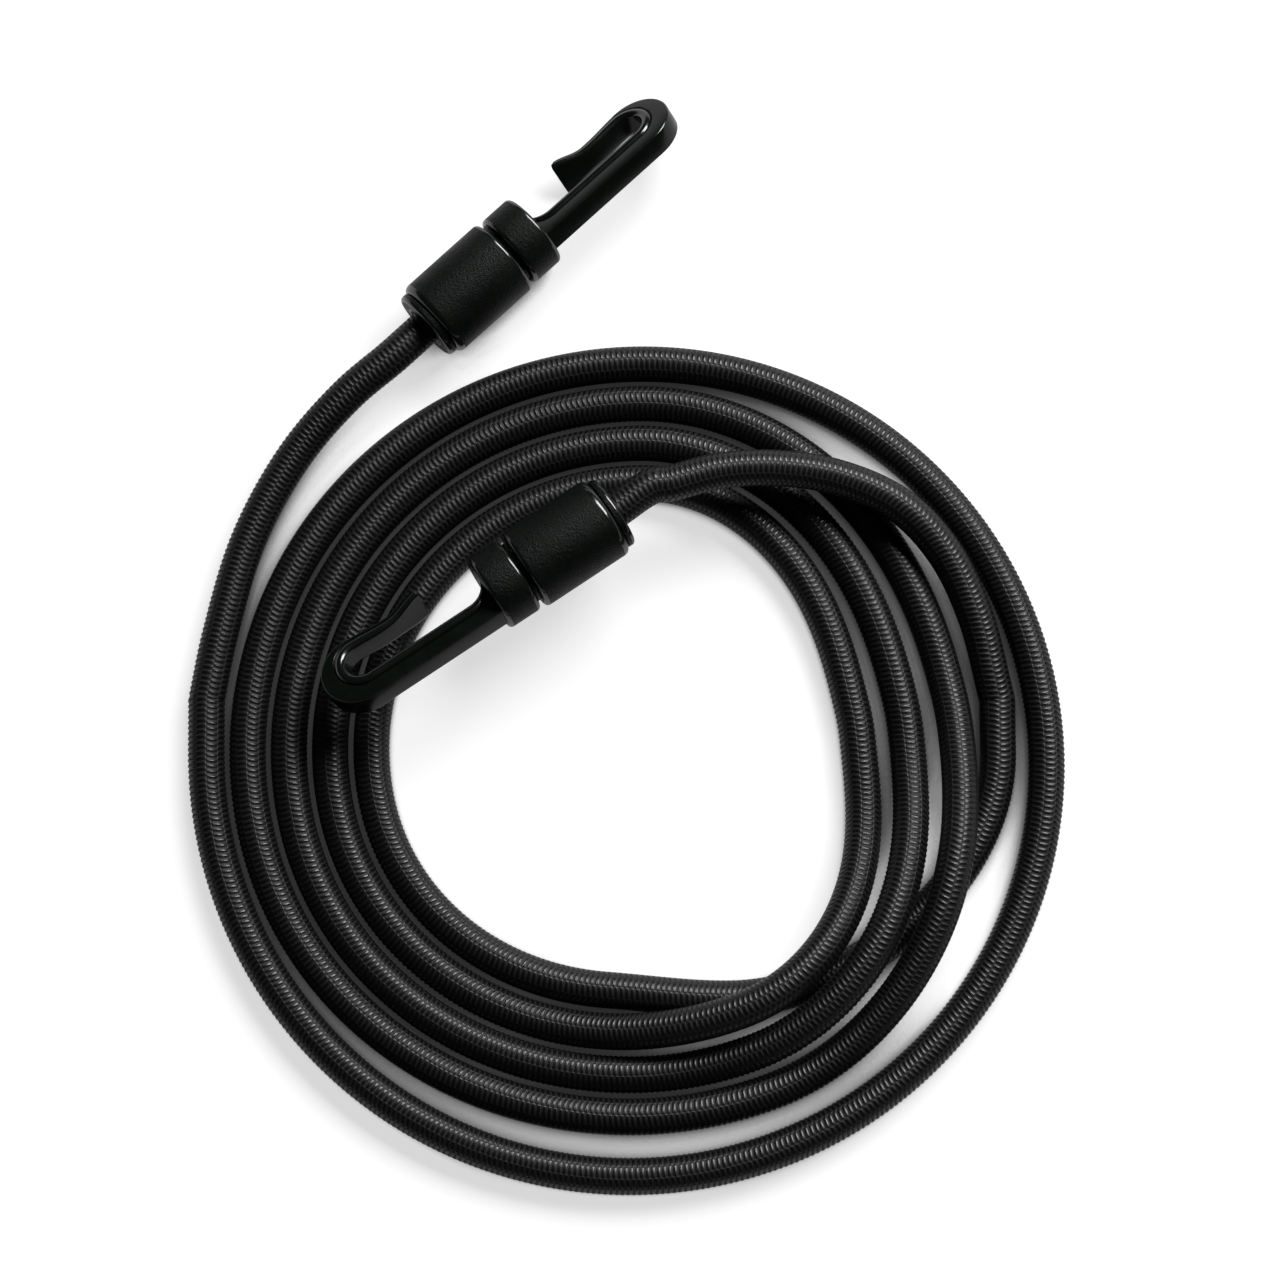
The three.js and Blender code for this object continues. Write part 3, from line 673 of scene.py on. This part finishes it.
def united(name, base, extra):
    """The base piece with the extra one joined into a single skin."""
    join = base.modifiers.new("join", "BOOLEAN")
    join.operation = "UNION"
    join.solver = "EXACT"
    join.material_mode = "TRANSFER"
    join.object = extra
    bpy.context.view_layer.update()
    skin = bpy.data.meshes.new_from_object(base.evaluated_get(bpy.context.evaluated_depsgraph_get()))
    for spent in (base, extra):
        bpy.data.objects.remove(spent)
    skin.name = name
    skin.polygons.foreach_set("use_smooth", [True] * len(skin.polygons))
    skin.set_sharp_from_angle(angle=math.radians(HOOK_SHARP_ANGLE))
    piece = bpy.data.objects.new(name, skin)
    bpy.context.collection.objects.link(piece)
    return piece


# Camera, as the photograph is taken: from almost straight above

AZIMUTH = math.radians(-43)
ELEVATION = math.radians(80)
CAMERA_DISTANCE = 1.0
FRAME_WIDTH = 0.346
AIM = Vector((0.0173, 0.0121, 0.004))

camera_data = bpy.data.cameras.new("camera")
camera_data.sensor_width = 36
camera_data.lens = camera_data.sensor_width * CAMERA_DISTANCE / FRAME_WIDTH
camera = bpy.data.objects.new("camera", camera_data)
back = Vector((
    math.sin(AZIMUTH) * math.cos(ELEVATION),
    -math.cos(AZIMUTH) * math.cos(ELEVATION),
    math.sin(ELEVATION),
))
camera.location = AIM + back * CAMERA_DISTANCE
camera.rotation_mode = "QUATERNION"
camera.rotation_quaternion = back.to_track_quat("Z", "Y")
bpy.context.collection.objects.link(camera)
bpy.context.scene.camera = camera

# The cord

cord, cord_line, cord_length = braided_cord(braided_polyester())
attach(cord, "root")
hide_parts("sleeve_lead_a", "sleeve_coil", "sleeve_lead_b")

# The fittings

hook_nylon = moulded_nylon("moulded_nylon_satin", roughness=0.2, grain=0.01, gloss=0.32)
barrel_nylon = moulded_nylon("moulded_nylon_grained", roughness=0.36, grain=0.5, gloss=0.12)
edge_nylon = moulded_nylon("moulded_nylon_polished", roughness=0.18, grain=0.005, gloss=0.8)
black_acetal = moulded_nylon("black_acetal", roughness=0.5, grain=0.02, gloss=0.2)
zinc_plated_steel = metal("zinc_plated_steel", "#b4b7ba", roughness=0.35, streak=0.3)
soft_aluminium = metal("soft_aluminium", "#c2c4c5", roughness=0.42, streak=0.5)

for end, fitting in FITTINGS.items():
    points, faces = barrel_shell()
    barrel = new_piece(f"cord_barrel_{end}", placed(fitting, points), faces, barrel_nylon, SHARP_ANGLE)
    polish_edges(barrel, fitting, edge_nylon)
    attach(barrel, "root")
    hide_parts(f"barrel_{end}")

    points, faces = cap_ring()
    cap = new_piece(f"barrel_cap_{end}", placed(fitting, points), faces, barrel_nylon, SHARP_ANGLE)
    polish_edges(cap, fitting, edge_nylon)
    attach(cap, "root")
    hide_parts(f"rear_cap_{end}")

    points, faces = collar_and_spigot()
    collar = new_piece("collar", placed(fitting, points, fitting["roll"]), faces, barrel_nylon)
    polish_edges(collar, fitting, edge_nylon)
    points, faces, round_faces = limb()
    hook_limb = new_piece("limb", placed(fitting, points, fitting["roll"]), faces, hook_nylon)
    hook_limb.data.materials.append(edge_nylon)
    hook_limb.data.polygons.foreach_set("material_index", round_faces)
    hook = united(f"swivel_hook_{end}", collar, hook_limb)
    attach(hook, f"hook_{end}")
    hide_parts(f"hook_{end}")

# The solids inside stay as they are, each in its own material
FINISHES = {
    "core": natural_rubber(),
    "crimp_ferrule": soft_aluminium,
    "stop_washer": zinc_plated_steel,
    "swivel_clip": zinc_plated_steel,
    "swivel_washer": black_acetal,
}
for name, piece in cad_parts.items():
    for start, finish in FINISHES.items():
        if name.startswith(start):
            piece.data.materials.clear()
            piece.data.materials.append(finish)

# Floor and light

bpy.ops.mesh.primitive_plane_add(size=6, location=(0, 0, 0))
floor = bpy.context.object
floor.name = "floor"
floor.data.materials.append(white_paper())

world = bpy.data.worlds.new("studio")
world.use_nodes = True
background = world.node_tree.nodes["Background"]
background.inputs["Color"].default_value = (1, 1, 1, 1)
background.inputs["Strength"].default_value = 0.02
bpy.context.scene.world = world

PHOTO_UP = Vector((-math.sin(AZIMUTH), math.cos(AZIMUTH), 0))
PHOTO_RIGHT = Vector((math.cos(AZIMUTH), math.sin(AZIMUTH), 0))


def softbox(name, rightward, upward, height, width, depth, watts):
    """A soft lamp that faces the part, placed in metres by the photograph's right and up."""
    lamp = bpy.data.lights.new(name, "AREA")
    lamp.shape = "RECTANGLE"
    lamp.size = width
    lamp.size_y = depth
    lamp.energy = watts
    light = bpy.data.objects.new(name, lamp)
    light.location = AIM + PHOTO_RIGHT * rightward + PHOTO_UP * upward + Vector((0, 0, height))
    light.rotation_mode = "QUATERNION"
    light.rotation_quaternion = (light.location - AIM).to_track_quat("Z", "Y")
    bpy.context.collection.objects.link(light)


softbox("key", rightward=0.9, upward=1.42, height=1.6, width=1.8, depth=0.9, watts=79)

bpy.context.scene.view_settings.view_transform = "Standard"
